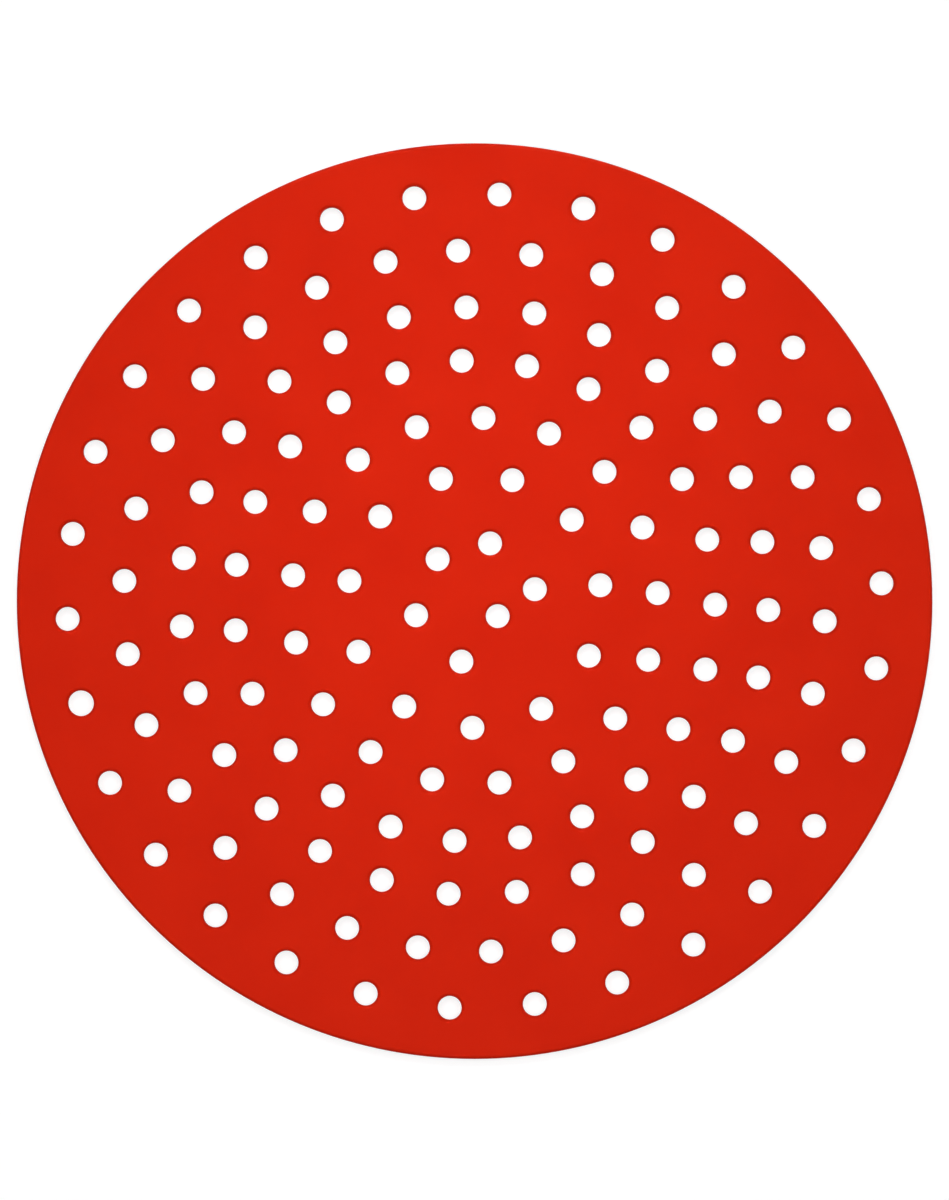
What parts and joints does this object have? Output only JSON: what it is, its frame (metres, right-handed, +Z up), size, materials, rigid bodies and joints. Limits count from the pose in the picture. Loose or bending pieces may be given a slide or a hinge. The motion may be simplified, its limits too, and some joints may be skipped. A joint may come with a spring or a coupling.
{
  "type": "air fryer liner",
  "caption": "Round flat silicone liner with a rounded rim, perforated all over in rings of vent holes, laid in an air fryer basket under the food.",
  "frame": {"origin": "centre of the underside, where the liner rests", "axes": "+Z up out of the top face that the food lies on, +Y the far side of the hole pattern as seen from above, +X to the right"},
  "size_m": [0.216, 0.216, 0.0025],
  "materials": {
    "red_silicone": "satin"
  },
  "bodies": {
    "root": {"perforated_liner": "red_silicone"}
  },
  "joints": []
}
